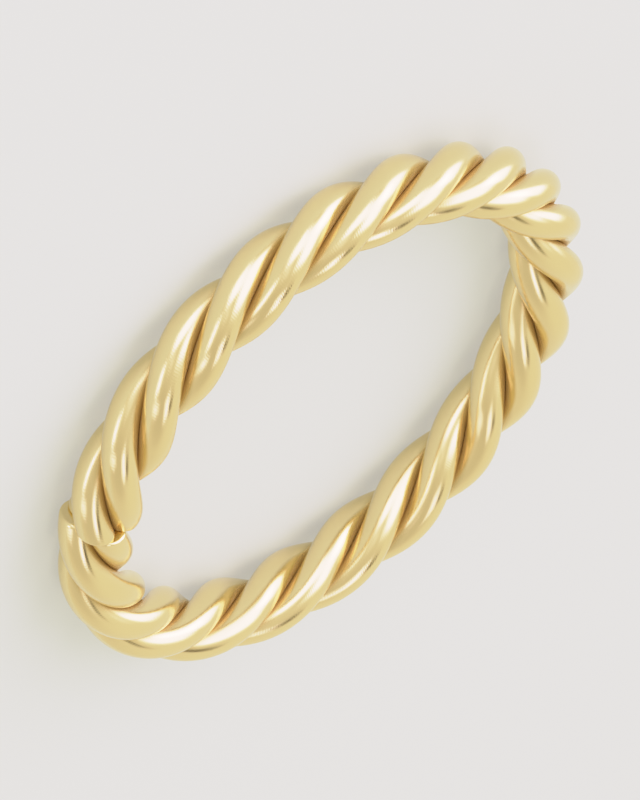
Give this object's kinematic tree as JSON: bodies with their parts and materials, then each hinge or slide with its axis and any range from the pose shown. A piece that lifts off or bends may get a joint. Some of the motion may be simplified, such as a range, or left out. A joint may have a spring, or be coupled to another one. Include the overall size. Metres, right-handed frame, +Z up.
{
  "type": "rope twist ring",
  "caption": "Plain finger ring of rope twist: round gold wires laid up left-handed into one rope and bent into a closed band, its soldered joint left in sight.",
  "frame": {"origin": "on the finger's axis, in the plane that the ring lies on", "axes": "+Z up along the finger's axis through the ring as it lies on its side, +X through the rope's soldered joint"},
  "size_m": [0.0215, 0.0216, 0.0027],
  "materials": {
    "polished_gold": "polished pale yellow gold, mirror bright, with darker grooves between the wires"
  },
  "bodies": {
    "root": {"wire_a": "polished_gold", "wire_b": "polished_gold", "wire_c": "polished_gold"}
  },
  "joints": []
}
